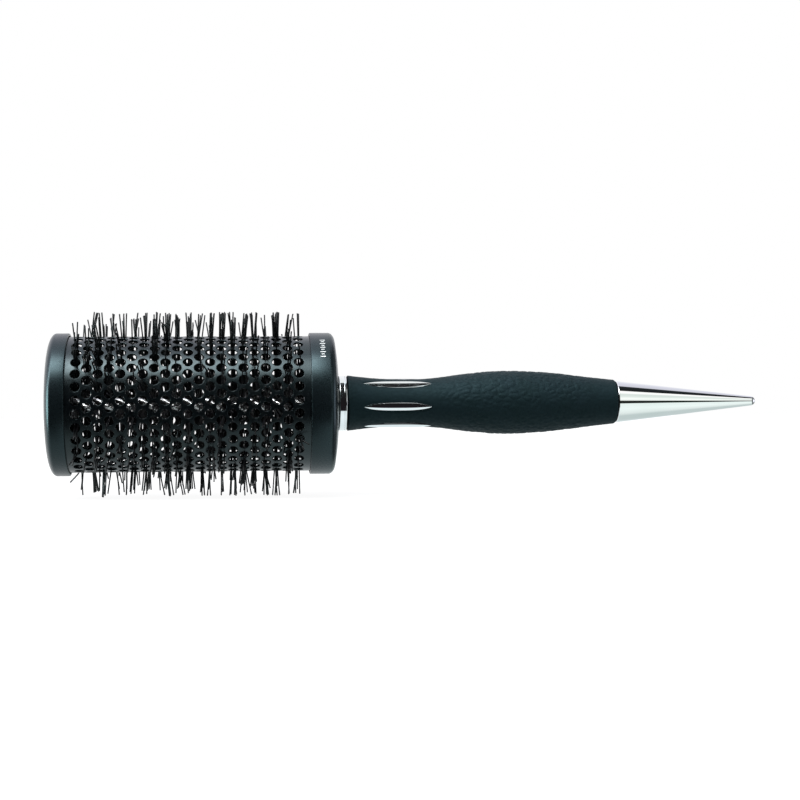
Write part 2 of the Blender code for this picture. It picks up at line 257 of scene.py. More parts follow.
class Look:
    """A Principled material and the nodes that vary it."""

    def __init__(self, name, colour, roughness, metallic=0.0):
        self.material = bpy.data.materials.new(name)
        self.material.use_nodes = True
        self.tree = self.material.node_tree
        self.shader = self.tree.nodes["Principled BSDF"]
        self.set("Base Color", (*colour, 1.0))
        self.set("Roughness", roughness)
        self.set("Metallic", metallic)
        self.place = self.tree.nodes.new("ShaderNodeTexCoord").outputs["Object"]
        self.normal = None

    def set(self, socket, value):
        self.shader.inputs[socket].default_value = value

    def link(self, output, socket):
        self.tree.links.new(output, socket)

    def stretched(self, scale):
        mapping = self.tree.nodes.new("ShaderNodeMapping")
        mapping.inputs["Scale"].default_value = scale
        self.link(self.place, mapping.inputs["Vector"])
        return mapping.outputs["Vector"]

    def noise(self, size, detail=3.0, stretch=(1.0, 1.0, 1.0)):
        """Soft noise whose features are about size metres across."""
        node = self.tree.nodes.new("ShaderNodeTexNoise")
        node.inputs["Scale"].default_value = 1.0 / size
        node.inputs["Detail"].default_value = detail
        self.link(self.stretched(stretch), node.inputs["Vector"])
        return node.outputs["Fac"]

    def cells(self, size, stretch):
        """Rounded cells about size metres across."""
        node = self.tree.nodes.new("ShaderNodeTexVoronoi")
        node.inputs["Scale"].default_value = 1.0 / size
        self.link(self.stretched(stretch), node.inputs["Vector"])
        return node.outputs["Distance"]

    def ranged(self, value, low, high):
        """A noise value stretched to run from low to high."""
        node = self.tree.nodes.new("ShaderNodeMapRange")
        node.inputs["From Min"].default_value = NOISE_LOW
        node.inputs["From Max"].default_value = NOISE_HIGH
        node.inputs["To Min"].default_value = low
        node.inputs["To Max"].default_value = high
        self.link(value, node.inputs["Value"])
        return node.outputs["Result"]

    def vary(self, socket, value, low, high):
        self.link(self.ranged(value, low, high), self.shader.inputs[socket])

    def tint(self, value, first, second):
        """Colour that changes from first to second with a noise value."""
        mix = self.tree.nodes.new("ShaderNodeMix")
        mix.data_type = "RGBA"
        mix.inputs[6].default_value = (*first, 1.0)
        mix.inputs[7].default_value = (*second, 1.0)
        self.link(self.ranged(value, 0.0, 1.0), mix.inputs[0])
        self.link(mix.outputs[2], self.shader.inputs["Base Color"])

    def bump(self, value, height, strength=1.0):
        node = self.tree.nodes.new("ShaderNodeBump")
        node.inputs["Strength"].default_value = strength
        node.inputs["Distance"].default_value = height
        self.link(value, node.inputs["Height"])
        if self.normal:
            self.link(self.normal, node.inputs["Normal"])
        self.normal = node.outputs["Normal"]
        self.link(self.normal, self.shader.inputs["Normal"])


def cap_plastic(name):
    """Satin black moulding with the faint sparkle of a spark-eroded mould."""
    look = Look(name, (0.0035, 0.0054, 0.0068), 0.28)
    look.set("Specular Tint", (0.68, 1.0, 1.08, 1.0))
    look.tint(look.noise(9 * MM), (0.0028, 0.0045, 0.0056), (0.0040, 0.0060, 0.0074))
    look.vary("Roughness", look.noise(0.8 * MM), 0.25, 0.32)
    look.bump(look.noise(0.25 * MM, 2.0), 0.004 * MM)
    return look.material


def barrel_enamel(name):
    """Black stove enamel: glossy, with a slight orange peel."""
    look = Look(name, (0.002, 0.003, 0.004), 0.24)
    look.set("Specular IOR Level", 0.62)
    look.set("Specular Tint", (0.78, 1.0, 1.04, 1.0))
    look.tint(look.noise(6 * MM), (0.0015, 0.0024, 0.0032), (0.0026, 0.0037, 0.0048))
    look.vary("Roughness", look.noise(1.5 * MM), 0.20, 0.29)
    look.bump(look.noise(0.7 * MM, 2.0), 0.006 * MM)
    return look.material


def inner_plastic(name):
    look = Look(name, (0.006, 0.006, 0.007), 0.55)
    look.tint(look.noise(5 * MM), (0.005, 0.005, 0.006), (0.008, 0.008, 0.009))
    look.vary("Roughness", look.noise(0.9 * MM), 0.48, 0.62)
    look.bump(look.noise(0.4 * MM, 2.0), 0.01 * MM)
    return look.material


def wire_steel(name):
    """Bright drawn wire with fine lengthwise streaks."""
    look = Look(name, (0.92, 0.93, 0.94), 0.22, 1.0)
    look.tint(look.noise(1.2 * MM), (0.86, 0.87, 0.88), (0.96, 0.97, 0.98))
    look.vary("Roughness", look.noise(0.5 * MM), 0.16, 0.28)
    return look.material


def chrome(name, roughness=0.04):
    """Polished chrome plate. Its polish varies a little, as handling leaves it."""
    look = Look(name, (0.93, 0.94, 0.94), roughness, 1.0)
    look.tint(look.noise(12 * MM), (0.91, 0.93, 0.925), (0.95, 0.955, 0.96))
    look.vary("Roughness", look.noise(4 * MM), 0.6 * roughness, 1.6 * roughness)
    return look.material


def bristle_nylon(name):
    look = Look(name, (0.0015, 0.0018, 0.0022), 0.40)
    look.set("Specular IOR Level", 0.3)
    look.tint(look.noise(2.5 * MM), (0.0010, 0.0012, 0.0015), (0.0024, 0.0028, 0.0033))
    look.vary("Roughness", look.noise(0.6 * MM), 0.34, 0.5)
    return look.material


def grip_rubber(name):
    """Matt rubber with a fine leather grain on top of the moulded one."""
    look = Look(name, (0.0040, 0.0088, 0.0108), 0.62)
    look.set("Specular IOR Level", 0.28)
    look.set("Specular Tint", (0.55, 1.0, 1.1, 1.0))
    look.tint(look.noise(7 * MM, 4.0), (0.0034, 0.0080, 0.0092), (0.0048, 0.0096, 0.0124))
    look.vary("Roughness", look.noise(1.0 * MM), 0.55, 0.72)
    look.bump(look.cells(0.45 * MM, (0.6, 1.0, 1.0)), 0.03 * MM, 0.6)
    look.bump(look.noise(0.18 * MM, 2.0), 0.012 * MM, 0.6)
    return look.material


def print_ink(name):
    look = Look(name, (0.85, 0.87, 0.86), 0.5)
    look.tint(look.noise(0.6 * MM), (0.78, 0.80, 0.79), (0.90, 0.92, 0.91))
    look.vary("Roughness", look.noise(0.5 * MM), 0.42, 0.58)
    return look.material


# ---------------------------------------------------------------- barrel and caps


def hole_turn(ring):
    """Angle of a ring's first hole. Alternate rings are turned by half a step."""
    return FIRST_HOLE + HALF_HOLE_STEP * (ring % 2)


def square_edge(count):
    """count points around the edge of the square from -1 to 1, from (1, -1) towards (1, 1)."""
    side = count // 4
    steps = [-1.0 + 2.0 * k / side for k in range(side)]
    points = [(1.0, step) for step in steps]
    points += [(-step, 1.0) for step in steps]
    points += [(-1.0, -step) for step in steps]
    points += [(step, -1.0) for step in steps]
    return points


class Sheet:
    """Vertices and faces of a sheet-metal tube, with vertices shared by their place."""

    def __init__(self):
        self.verts, self.normals, self.faces, self.found = [], [], [], {}

    def point(self, x, angle, depth, normal):
        key = (round(x / MM, 3), round(math.degrees(angle) % 360.0, 2) % 360.0, round(depth / MM, 3))
        if key not in self.found:
            self.found[key] = len(self.verts)
            self.verts.append(around(x, BARREL_R - depth, angle))
            self.normals.append(normal)
        return self.found[key]


def outward(angle):
    return around(0.0, 1.0, angle)


def add_hole(sheet, x, angle):
    """One air hole with the square of sheet metal around it, rounded edge and wall."""
    layers = []
    for depth, side in ((0.0, 1.0), (BARREL_WALL, -1.0)):
        layer = []
        for along, across in square_edge(HOLE_SIDES):
            place = angle + HALF_HOLE_STEP * across
            layer.append(sheet.point(x + RING_STEP / 2 * along, place, depth, outward(place) * side))
        layers.append(layer)
    outside, inside = layers
    rows = [outside]
    # Radius, depth and lean of the normal at each row, from the flat sheet into the hole.
    edge_rows = (
        (HOLE_R + HOLE_EDGE, 0.0, 0.0),
        (HOLE_R + 0.3 * HOLE_EDGE, 0.3 * HOLE_EDGE, 45.0),
        (HOLE_R, HOLE_EDGE, 90.0),
        (HOLE_R, BARREL_WALL - 0.3 * HOLE_EDGE, 90.0),
        (HOLE_R + 0.3 * HOLE_EDGE, BARREL_WALL, 180.0),
    )
    for radius, depth, lean in edge_rows:
        row = []
        for k in range(HOLE_SIDES):
            turn = math.tau * (k - HOLE_SIDES / 8) / HOLE_SIDES
            place = angle + radius * math.sin(turn) / BARREL_R
            around_axis = Vector((0.0, math.sin(place), math.cos(place)))
            into = Vector((-math.cos(turn), 0.0, 0.0)) - math.sin(turn) * around_axis
            tilt = math.radians(lean)
            normal = outward(place) * math.cos(tilt) + into * math.sin(tilt)
            row.append(sheet.point(x + radius * math.cos(turn), place, depth, normal))
        rows.append(row)
    rows.append(inside)
    for row, other in zip(rows, rows[1:]):
        sheet.faces += bridge(row, other)


def add_margin(sheet, from_x, to_x, first_angle, count):
    """The plain band between a barrel's end and its outer ring of holes, and its end face."""
    rows = []
    outside = ((from_x, 0.0, 1.0), (to_x, 0.0, 1.0))
    inside = ((to_x, BARREL_WALL, -1.0), (from_x, BARREL_WALL, -1.0))
    for x, depth, side in outside + inside:
        angles = [first_angle + math.tau * k / count for k in range(count)]
        rows.append([sheet.point(x, a, depth, outward(a) * side) for a in angles])
    for row, other in zip(rows, rows[1:]):
        sheet.faces += bridge(row, other) if to_x > from_x else bridge(other, row)


def add_barrel():
    """The perforated tube: rings of round holes, alternate rings turned by half a step."""
    sheet = Sheet()
    for ring, x in enumerate(RING_X):
        for hole in range(HOLES):
            add_hole(sheet, x, hole_turn(ring) + math.tau * hole / HOLES)
    count = HOLES * HOLE_SIDES // 4
    first_edge = RING_X[0] - RING_STEP / 2
    last_edge = RING_X[-1] + RING_STEP / 2
    add_margin(sheet, first_edge, BARREL_START, hole_turn(0) - HALF_HOLE_STEP, count)
    add_margin(sheet, last_edge, BARREL_END, hole_turn(RINGS - 1) - HALF_HOLE_STEP, count)
    obj = add_mesh("barrel", sheet.verts, sheet.faces, barrel_enamel("barrel_enamel"), sharp=None)
    obj.data.normals_split_custom_set_from_vertices(sheet.normals)
    ride(obj, "barrel_metal", "barrel_tube")


def add_front_cap():
    """The free end's cap: a round-edged cup whose face has a shallow dished middle."""
    inside_r = CAP_R - CAP_WALL
    depth, width = FRONT_EDGE
    outline = [(DISH_DEPTH, 0.0), (DISH_DEPTH, DISH_R - 1.2 * MM)]
    outline += [(0.25 * DISH_DEPTH, DISH_R - 0.4 * MM), (0.0, DISH_R)]
    outline += oval_edge(depth, CAP_R - width, depth, width, -90.0, 0.0, 20)
    outline += fillet(FRONT_CAP_END - RIM_FILLET, CAP_R - RIM_FILLET, RIM_FILLET, 0.0, 90.0, 5)
    outline += [(FRONT_CAP_END, inside_r), (CAP_FACE, inside_r), (CAP_FACE, 0.0)]
    obj = turned("front_cap_shell", outline, cap_plastic("cap_plastic_front"))
    ride(obj, "cap_plastic", "front_cap")


def add_rear_cap():
    """The collar: a skirt over the barrel's rear end and a slightly domed back around the ferrule."""
    inside_r = CAP_R - CAP_WALL
    web_start = BARREL_END + WEB_GAP
    depth, width = REAR_EDGE
    edge_r = CAP_R - width
    outline = [(web_start, inside_r), (REAR_CAP_START, inside_r)]
    outline += fillet(REAR_CAP_START + RIM_FILLET, CAP_R - RIM_FILLET, RIM_FILLET, -90.0, 0.0, 5)
    outline += oval_edge(REAR_CAP_END - depth, edge_r, depth, width, 0.0, 78.0, 12)
    for step in range(DOME_STEPS - 1, -1, -1):
        share = step / DOME_STEPS
        dome = (REAR_CAP_CROWN - REAR_CAP_END) * (1.0 - share**2)
        outline.append((REAR_CAP_END + dome, FERRULE_R + (edge_r - FERRULE_R) * share))
    outline += [(REAR_CAP_CROWN, BORE_R), (web_start, BORE_R)]
    obj = turned("collar", outline, cap_plastic("cap_plastic_rear"), closed=True)
    ride(obj, "cap_plastic", "rear_cap")


def add_collar_mark():
    """A generic printed scale on the collar, without letters: short bars across, one above another."""
    verts, faces = [], []
    for step in MARK_STEPS:
        angle = MARK_ANGLE + step * MARK_SPACING / CAP_R
        half_height = MARK_HALF_HEIGHT * (MARK_SHORT if step % 2 else MARK_LONG)
        start = len(verts)
        for r in (CAP_R - MARK_SUNK, CAP_R + MARK_PROUD):
            for x_side, a_side in ((-1, -1), (1, -1), (1, 1), (-1, 1)):
                x = MARK_X + x_side * half_height
                verts.append(around(x, r, angle + a_side * MARK_THICKNESS / CAP_R))
        low, high = range(start, start + 4), range(start + 4, start + 8)
        faces.append(tuple(low[::-1]))
        faces.append(tuple(high))
        faces += bridge(low, high)
    obj = add_mesh("collar_mark", verts, faces, print_ink("print_ink"), sharp=30.0)
    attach(obj, "root")


# ---------------------------------------------------------------- wires and bristles


def tube(path, radii, sides):
    """Vertices and faces of a closed tube along a path, with a pole at each end."""
    verts, rows = [Vector(path[0])], [range(0, 1)]
    count = len(path)
    for k in range(count):
        before, after = path[max(k - 1, 0)], path[min(k + 1, count - 1)]
        ahead = (after - before).normalized()
        side = ahead.cross(Vector((1.0, 0.0, 0.0)))
        if side.length < 0.3:
            side = ahead.cross(Vector((0.0, 1.0, 0.0)))
        side.normalize()
        up = side.cross(ahead)
        rows.append(range(len(verts), len(verts) + sides))
        for s in range(sides):
            turn = math.tau * s / sides
            verts.append(path[k] + radii[k] * (math.cos(turn) * side + math.sin(turn) * up))
    rows.append(range(len(verts), len(verts) + 1))
    verts.append(Vector(path[-1]))
    faces = []
    for row, other in zip(rows, rows[1:]):
        faces += bridge(row, other)
    return verts, faces


def add_wires():
    """Two bright wires twisted together, right-handed about +X."""
    helix_r = WIRE_OUTER_R - WIRE_R
    length = WIRE_END - WIRE_START
    for letter, first in (("a", 0.0), ("b", math.pi)):
        path = []
        for k in range(WIRE_STEPS + 1):
            along = length * k / WIRE_STEPS
            angle = first + math.tau * along / WIRE_PITCH
            place = (WIRE_START + along, helix_r * math.cos(angle), helix_r * math.sin(angle))
            path.append(Vector(place))
        verts, faces = tube(path, [WIRE_R] * len(path), 20)
        obj = add_mesh("wire_" + letter, verts, faces, wire_steel("wire_steel_" + letter))
        ride(obj, "core_steel", "core_wire_" + letter)


def gap_offset(x, angle):
    """Distance along the axis from x to where the gap between the wires faces that angle."""
    quarter = WIRE_PITCH / 4
    # The wires' own angle, measured as the holes' are: from -Y towards +Z.
    wire_angle = math.pi - math.tau * (x - WIRE_START) / WIRE_PITCH
    turn = (angle - wire_angle - math.pi / 2) % math.pi
    offset = -turn * WIRE_PITCH / math.tau
    return offset + 2 * quarter if offset < -quarter else offset


def filament(rng, x, angle, lean_x, lean_side, short):
    """One bristle: from between the wires, through its hole, to its tip, with a round end.

    Its path is the parabola through root, hole and tip. share is the hole's place along it.
    """
    hole_x = x + rng.uniform(-0.5, 0.5) * HOLE_R
    hole_angle = angle + rng.uniform(-0.62, 0.62) * HOLE_R / BARREL_R
    root_x = x + ROOT_SHIFT * gap_offset(x, angle) + rng.gauss(0.0, 0.5 * MM)
    root = around(root_x, ROOT_R, angle)
    hole = around(hole_x, BARREL_R, hole_angle)
    tip_r = TIP_R - abs(rng.gauss(0.0, 0.25 * MM)) - short
    tip_x = hole_x + 0.25 * (hole_x - root_x) + lean_x
    tip = around(tip_x, tip_r, hole_angle + lean_side / tip_r)
    share = (BARREL_R - ROOT_R) / (tip_r - ROOT_R)
    path = []
    for k in range(FILAMENT_STEPS + 1):
        t = k / FILAMENT_STEPS
        from_root = (t - share) * (t - 1.0) / share
        at_hole = t * (t - 1.0) / (share * (share - 1.0))
        at_tip = t * (t - share) / (1.0 - share)
        path.append(root * from_root + hole * at_hole + tip * at_tip)
    radii = [FILAMENT_R] * len(path)
    last = path[-1] - path[-2]
    path[-1] = path[-2] + last * (1.0 - 0.35 * FILAMENT_R / last.length)
    path.append(path[-2] + last)
    radii.append(0.5 * FILAMENT_R)
    return tube(path, radii, 6)


def inner_filament(rng, x, angle):
    """A bristle that has found no hole and ends inside the barrel."""
    root = around(x + ROOT_SHIFT * gap_offset(x, angle), ROOT_R, angle)
    bend = rng.gauss(0.0, 0.05)
    end_r = rng.uniform(9.0, 19.0) * MM
    middle = around(x + rng.gauss(0.0, 0.5 * MM), 0.5 * end_r, angle + bend)
    end = around(x + rng.gauss(0.0, 1.1 * MM), end_r, angle + 2.5 * bend + rng.gauss(0.0, 0.03))
    path = [root, (root + middle) / 2, middle, (middle + end) / 2, end]
    return tube(path, [FILAMENT_R] * len(path), 5)


def add_bristles():
    """Tufts of up to six filaments through the holes, one piece for each ring.

    A few filaments are short. At the barrel's ends, a few above and below lean out over the margin.
    """
    look = bristle_nylon("bristle_nylon")
    for ring, (node, x) in enumerate(zip(RING_NODES, RING_X)):
        rng = random.Random(BRISTLE_SEED + ring)
        verts, faces = [], []

        def join(more, sides):
            start = len(verts)
            verts.extend(more)
            faces.extend(tuple(start + v for v in face) for face in sides)

        for hole in range(HOLES):
            angle = hole_turn(ring) + math.tau * hole / HOLES
            count = rng.choices(range(len(TUFT_CHANCES)), TUFT_CHANCES)[0]
            tuft_x, tuft_side = rng.gauss(0.0, 0.4 * MM), rng.gauss(0.0, 0.5 * MM)
            for _ in range(count):
                lean_x = tuft_x + rng.gauss(0.0, 0.4 * MM)
                lean_side = tuft_side + rng.gauss(0.0, 0.5 * MM)
                short = rng.uniform(0.5, 3.5) * MM if rng.random() < ODD_CHANCE else 0.0
                at_end = ring in (0, RINGS - 1) and abs(math.sin(angle)) > 0.5
                if at_end and rng.random() < ODD_CHANCE:
                    lean_x += rng.uniform(2.5, 4.5) * MM * (-1.0 if ring == 0 else 1.0)
                    short = STRAY_SHORTENING
                join(*filament(rng, x, angle, lean_x, lean_side, short))
        for _ in range(INNER_FILAMENTS):
            join(*inner_filament(rng, x, rng.uniform(0.0, math.tau)))
        obj = add_mesh(f"bristles_{ring + 1:02d}", verts, faces, look, sharp=None)
        ride(obj, "bristle_nylon", node)


# ---------------------------------------------------------------- handle

# Rubber grip: outer radius at places along it, from its front end.
GRIP_OUTLINE = (
    (0.0, 10.6),
    (5.0, 10.0),
    (9.0, 9.6),
    (13.0, 9.3),
    (19.0, 9.0),
    (25.0, 8.95),
    (31.0, 9.3),
    (37.0, 9.9),
    (44.0, 10.85),
    (54.0, 11.85),
    (62.0, 12.15),
    (70.0, 11.9),
    (80.0, 11.2),
    (90.0, 10.0),
    (96.0, 9.3),
    (102.5, 8.6),
)
GRIP_RINGS = 400
GRIP_SIDES = 216
GRIP_INNER_R = 6.8 * MM
GRIP_FRONT_EDGE = 0.35 * MM
GRIP_REAR_EDGE = 0.8 * MM
GRAIN_HEIGHT = 0.16 * MM
GRAIN_SIZE = 1.9 * MM
FOLD_SIZE = 3.2 * MM

INLAYS = 6
INLAY_X = middle_of("grip_inlay_1") - 1.05 * MM
INLAY_HALF_LENGTH = (end_of("grip_inlay_1") - start_of("grip_inlay_1")) / 2
INLAY_HALF_WIDTH = 1.6 * MM
INLAY_TOP_R = 9.75 * MM
INLAY_BOTTOM_R = 7.9 * MM
INLAY_FIRST = math.radians(-9.0)
INLAY_STEPS_ALONG, INLAY_STEPS_ACROSS = 72, 24
CROWN_HEIGHT = 0.42 * MM
BEVEL_HEIGHT = 0.40 * MM
POCKET_DEPTH = 1.0 * MM
DIMPLE_DEPTH = 0.16 * MM
DIMPLE_WIDTH = 1.1 * MM


def smooth_step(value, low, high):
    t = min(max((value - low) / (high - low), 0.0), 1.0)
    return t * t * (3.0 - 2.0 * t)


def grip_radius(along):
    """A smooth curve through the grip's outline points (Catmull-Rom)."""
    points = GRIP_OUTLINE
    at = along / MM
    k = 0
    while k < len(points) - 2 and at > points[k + 1][0]:
        k += 1
    (x1, r1), (x2, r2) = points[k], points[k + 1]
    x0, r0 = points[k - 1] if k > 0 else (2 * x1 - x2, 2 * r1 - r2)
    x3, r3 = points[k + 2] if k + 2 < len(points) else (2 * x2 - x1, 2 * r2 - r1)
    slope1 = (r2 - r0) / (x2 - x0) * (x2 - x1)
    slope2 = (r3 - r1) / (x3 - x1) * (x2 - x1)
    t = (at - x1) / (x2 - x1)
    value = (2 * t**3 - 3 * t**2 + 1) * r1 + (t**3 - 2 * t**2 + t) * slope1
    value += (3 * t**2 - 2 * t**3) * r2 + (t**3 - t**2) * slope2
    return value * MM


def leaf_half_width(along):
    """Half the width of an inlay at a distance from its middle."""
    share = min(abs(along) / INLAY_HALF_LENGTH, 1.0)
    return INLAY_HALF_WIDTH * (1.0 - share**3) ** 0.68


def inlay_angle(index):
    return INLAY_FIRST + math.tau * index / INLAYS


def pocket_depth(x, angle, r):
    """How far the rubber is sunk at a place, under and beside the inlays."""
    along = x - INLAY_X
    if abs(along) > INLAY_HALF_LENGTH + 1.5 * MM:
        return 0.0
    step = math.tau / INLAYS
    off = (angle - INLAY_FIRST + step / 2) % step - step / 2
    across = abs(off) * r
    past_side = across - leaf_half_width(along)
    past_end = max(abs(along) - INLAY_HALF_LENGTH, 0.0)
    distance = max(past_side, 0.0) if past_end == 0.0 else math.hypot(past_end, across)
    under = 1.0 - smooth_step(past_side + past_end, -0.45 * MM, -0.05 * MM)
    beside = max(1.0 - distance / DIMPLE_WIDTH, 0.0) ** 2
    return POCKET_DEPTH * under + DIMPLE_DEPTH * beside


def grain(point, along):
    """Leather-like grain: low scales, stronger on the swelling behind the inlays."""
    scaled = Vector((point.x * 0.62, point.y, point.z)) / GRAIN_SIZE
    near, second = noise.voronoi(scaled)[0][:2]
    scales = smooth_step(second - near, 0.0, 0.45)
    folds = noise.noise(Vector((point.x * 0.5, point.y, point.z)) / FOLD_SIZE)
    swelling = smooth_step(along, 28 * MM, 50 * MM) * (1 - smooth_step(along, 84 * MM, 100 * MM))
    strength = 0.3 + 0.7 * swelling
    return GRAIN_HEIGHT * strength * (scales - 0.75 + 0.6 * folds)


def add_grip():
    """The rubber sleeve, with real grain in its surface and a sunk bed for each inlay."""
    length = GRIP_END - GRIP_START
    verts, rows = [], []

    def add_row(x, r, shaped):
        rows.append(range(len(verts), len(verts) + GRIP_SIDES))
        for k in range(GRIP_SIDES):
            angle = math.tau * k / GRIP_SIDES
            if not shaped:
                verts.append(around(x, r, angle))
                continue
            sunk = pocket_depth(x, angle, r)
            front_fade = smooth_step(x - GRIP_START, 0.0, 2 * MM)
            rear_fade = 1 - smooth_step(x, GRIP_END - 3 * MM, GRIP_END)
            pocket_fade = 1 - min(sunk / (0.3 * MM), 1.0)
            height = grain(around(x, r, angle), x - GRIP_START)
            verts.append(around(x, r - sunk + height * (front_fade * rear_fade) * pocket_fade, angle))

    edge, end_edge = GRIP_FRONT_EDGE, GRIP_REAR_EDGE
    first_r = grip_radius(0.0)
    last_r = grip_radius(length - end_edge)
    add_row(GRIP_END, GRIP_INNER_R, False)
    add_row(GRIP_START, GRIP_INNER_R, False)
    for step in range(3):
        turn = math.radians(90.0 * step / 3)
        x = GRIP_START + edge * (1 - math.sin(turn))
        add_row(x, first_r - edge * (1 - math.cos(turn)) - edge * 0.1, False)
    for k in range(GRIP_RINGS + 1):
        along = edge + (length - edge - end_edge) * k / GRIP_RINGS
        add_row(GRIP_START + along, grip_radius(along), True)
    for step in range(1, 7):
        turn = math.radians(90.0 * step / 6)
        x = GRIP_END - end_edge * (1 - math.sin(turn))
        add_row(x, last_r - 0.75 * end_edge * (1 - math.cos(turn)), False)
    faces = []
    for row, other in zip(rows, rows[1:]):
        faces += bridge(row, other)
    faces += bridge(rows[-1], rows[0])
    obj = add_mesh("grip", verts, [face[::-1] for face in faces], grip_rubber("grip_rubber"), sharp=50.0)
    ride(obj, "grip_rubber", "grip_sleeve")


def inlay_drop(across):
    """How far an inlay's top lies below its crown, at a share of its half width."""
    side = abs(across)
    return CROWN_HEIGHT * side**2 + BEVEL_HEIGHT * smooth_step(side, 0.80, 1.0) ** 1.5


def add_inlay(index):
    """A crowned leaf of chrome, straight along its length and set in the grip's waist."""
    angle = inlay_angle(index)
    out = outward(angle)
    side = Vector((0.0, math.sin(angle), math.cos(angle)))
    verts, rows = [], []

    def place(along, across, height):
        return Vector((INLAY_X + along, 0.0, 0.0)) + side * across + out * height

    def add_row(points):
        rows.append(list(range(len(verts), len(verts) + len(points))))
        verts.extend(points)

    def shares_of(steps):
        """Places from -1 to 1, closer together towards the ends."""
        return [-math.cos(math.pi * k / steps) for k in range(steps + 1)]

    shares = shares_of(INLAY_STEPS_ACROSS)
    for station in shares_of(INLAY_STEPS_ALONG):
        along = station * INLAY_HALF_LENGTH
        half = leaf_half_width(along)
        tip_drop = 0.30 * MM * abs(station) ** 8
        if half < 0.01 * MM:
            add_row([place(along, 0.0, INLAY_TOP_R - 0.5 * MM)])
            continue
        fullness = min(half / (0.8 * MM), 1.0)
        crown_r = INLAY_TOP_R - tip_drop
        top = [place(along, s * half, crown_r - fullness * inlay_drop(s)) for s in shares]
        bottom = [place(along, s * half, INLAY_BOTTOM_R) for s in (0.96, -0.96)]
        add_row(top + bottom)
    faces = []
    for row, other in zip(rows, rows[1:]):
        faces += bridge(row, other)
    look = chrome(f"inlay_chrome_{index + 1}", 0.05)
    obj = add_mesh(f"inlay_{index + 1}", verts, faces, look, sharp=None)
    # The polish runs along the leaf, so its shading hardly leans towards the ends.
    normals = []
    for vertex in obj.data.vertices:
        x, y, z = vertex.normal
        normals.append(Vector((0.1 * x, y, z)).normalized())
    obj.data.normals_split_custom_set_from_vertices(normals)
    ride(obj, "chrome_trim", f"grip_inlay_{index + 1}")


def add_ferrule():
    """The chrome ring at the neck, with rounded edges and a shallow groove."""
    edge = FERRULE_EDGE
    outline = [(FERRULE_END, BORE_R), (FERRULE_START, BORE_R)]
    outline += fillet(FERRULE_START + edge, FERRULE_R - edge, edge, -90.0, 0.0, 5)
    outline += [
        (FERRULE_START + 1.15 * edge, FERRULE_R),
        (GROOVE_X - 0.25 * MM, FERRULE_R),
        (GROOVE_X - 0.18 * MM, FERRULE_R),
        (GROOVE_X - 0.06 * MM, FERRULE_R - GROOVE_DEPTH),
        (GROOVE_X + 0.06 * MM, FERRULE_R - GROOVE_DEPTH),
        (GROOVE_X + 0.18 * MM, FERRULE_R),
    ]
    outline += fillet(FERRULE_END - edge, FERRULE_R - edge, edge, 0.0, 90.0, 5)
    obj = turned("neck_ring", outline, chrome("neck_chrome"), closed=True)
    ride(obj, "chrome_trim", "neck_ferrule")


def add_tail():
    """The sectioning tail: a long polished cone with a round tip."""
    slope = (TAIL_BASE_R - TAIL_TIP_R) / (TAIL_END - TAIL_START)
    lean = math.degrees(math.atan(slope))
    edge = TAIL_EDGE
    bore_end = end_of("tail_stud") + STUD_ROOM
    outline = [(bore_end, 0.0), (bore_end, STUD_BORE_R), (TAIL_START, STUD_BORE_R)]
    outline += fillet(TAIL_START + edge, TAIL_BASE_R - edge, edge, -90.0, 0.0, 4)
    tip = fillet(TAIL_END - TAIL_TIP_R, 0.0, TAIL_TIP_R, lean, 90.0, 12)
    tip[-1] = (TAIL_END, 0.0)
    first_x, first_r = outline[-1]
    last_x, last_r = tip[0]
    # The close points beside both ends keep the smooth shading of the cone straight.
    for share in (0.004, 0.01, 0.25, 0.5, 0.75, 0.99):
        outline.append((first_x + (last_x - first_x) * share, first_r + (last_r - first_r) * share))
    outline += tip
    obj = turned("tail", outline, chrome("tail_chrome", 0.035))
    ride(obj, "chrome_trim", "tail_cone")


def dress_inner_nodes():
    """The hidden CAD parts keep their shapes and get finished materials."""
    looks = {
        "front_plug": inner_plastic("front_plug_plastic"),
        "rear_plug": inner_plastic("rear_plug_plastic"),
        "handle_core": inner_plastic("handle_core_plastic"),
        "tail_stud": wire_steel("tail_stud_steel"),
    }
    for node, look in looks.items():
        NODES[node].data.materials.clear()
        NODES[node].data.materials.append(look)


# ---------------------------------------------------------------- studio

# Brightness and tint of the studio around the brush's axis, as (angle, red, green, blue). Angles are in
# degrees: 0 is towards -Y, 90 up and -90 down. 1.0 is white. The four ramps were fitted so that the
# caps, barrel, ferrule, inlays and tail show bands of light like those in the photo.
STUDIO_BARREL = (
    (-180, 1.00, 1.00, 1.00),
    (-130, 0.75, 0.78, 0.80),
    (-88, 0.62, 0.66, 0.66),
    (-66, 0.55, 0.60, 0.60),
    (-50, 0.25, 0.28, 0.28),
    (-36, 0.02, 0.02, 0.02),
    (0, 0.012, 0.010, 0.009),
    (44, 0.03, 0.03, 0.03),
    (52, 2.40, 2.50, 2.50),
    (60, 8.60, 8.80, 9.00),
    (76, 8.60, 8.80, 9.00),
    (86, 2.00, 2.00, 2.20),
    (100, 1.00, 1.00, 1.12),
    (140, 1.00, 0.98, 1.08),
    (180, 1.00, 1.00, 1.00),
)
STUDIO_COLLAR = (
    (-180, 1.00, 1.00, 1.00),
    (-130, 0.75, 0.78, 0.80),
    (-88, 0.60, 0.64, 0.66),
    (-66, 0.52, 0.58, 0.60),
    (-50, 0.25, 0.28, 0.30),
    (-36, 0.02, 0.02, 0.02),
    (0, 0.012, 0.012, 0.012),
    (18, 0.03, 0.05, 0.05),
    (40, 0.80, 1.30, 1.30),
    (57, 2.00, 2.90, 3.00),
    (74, 3.00, 4.00, 4.20),
    (94, 2.60, 3.00, 3.20),
    (118, 1.35, 1.40, 1.60),
    (140, 1.10, 1.05, 1.20),
    (180, 1.00, 1.00, 1.00),
)
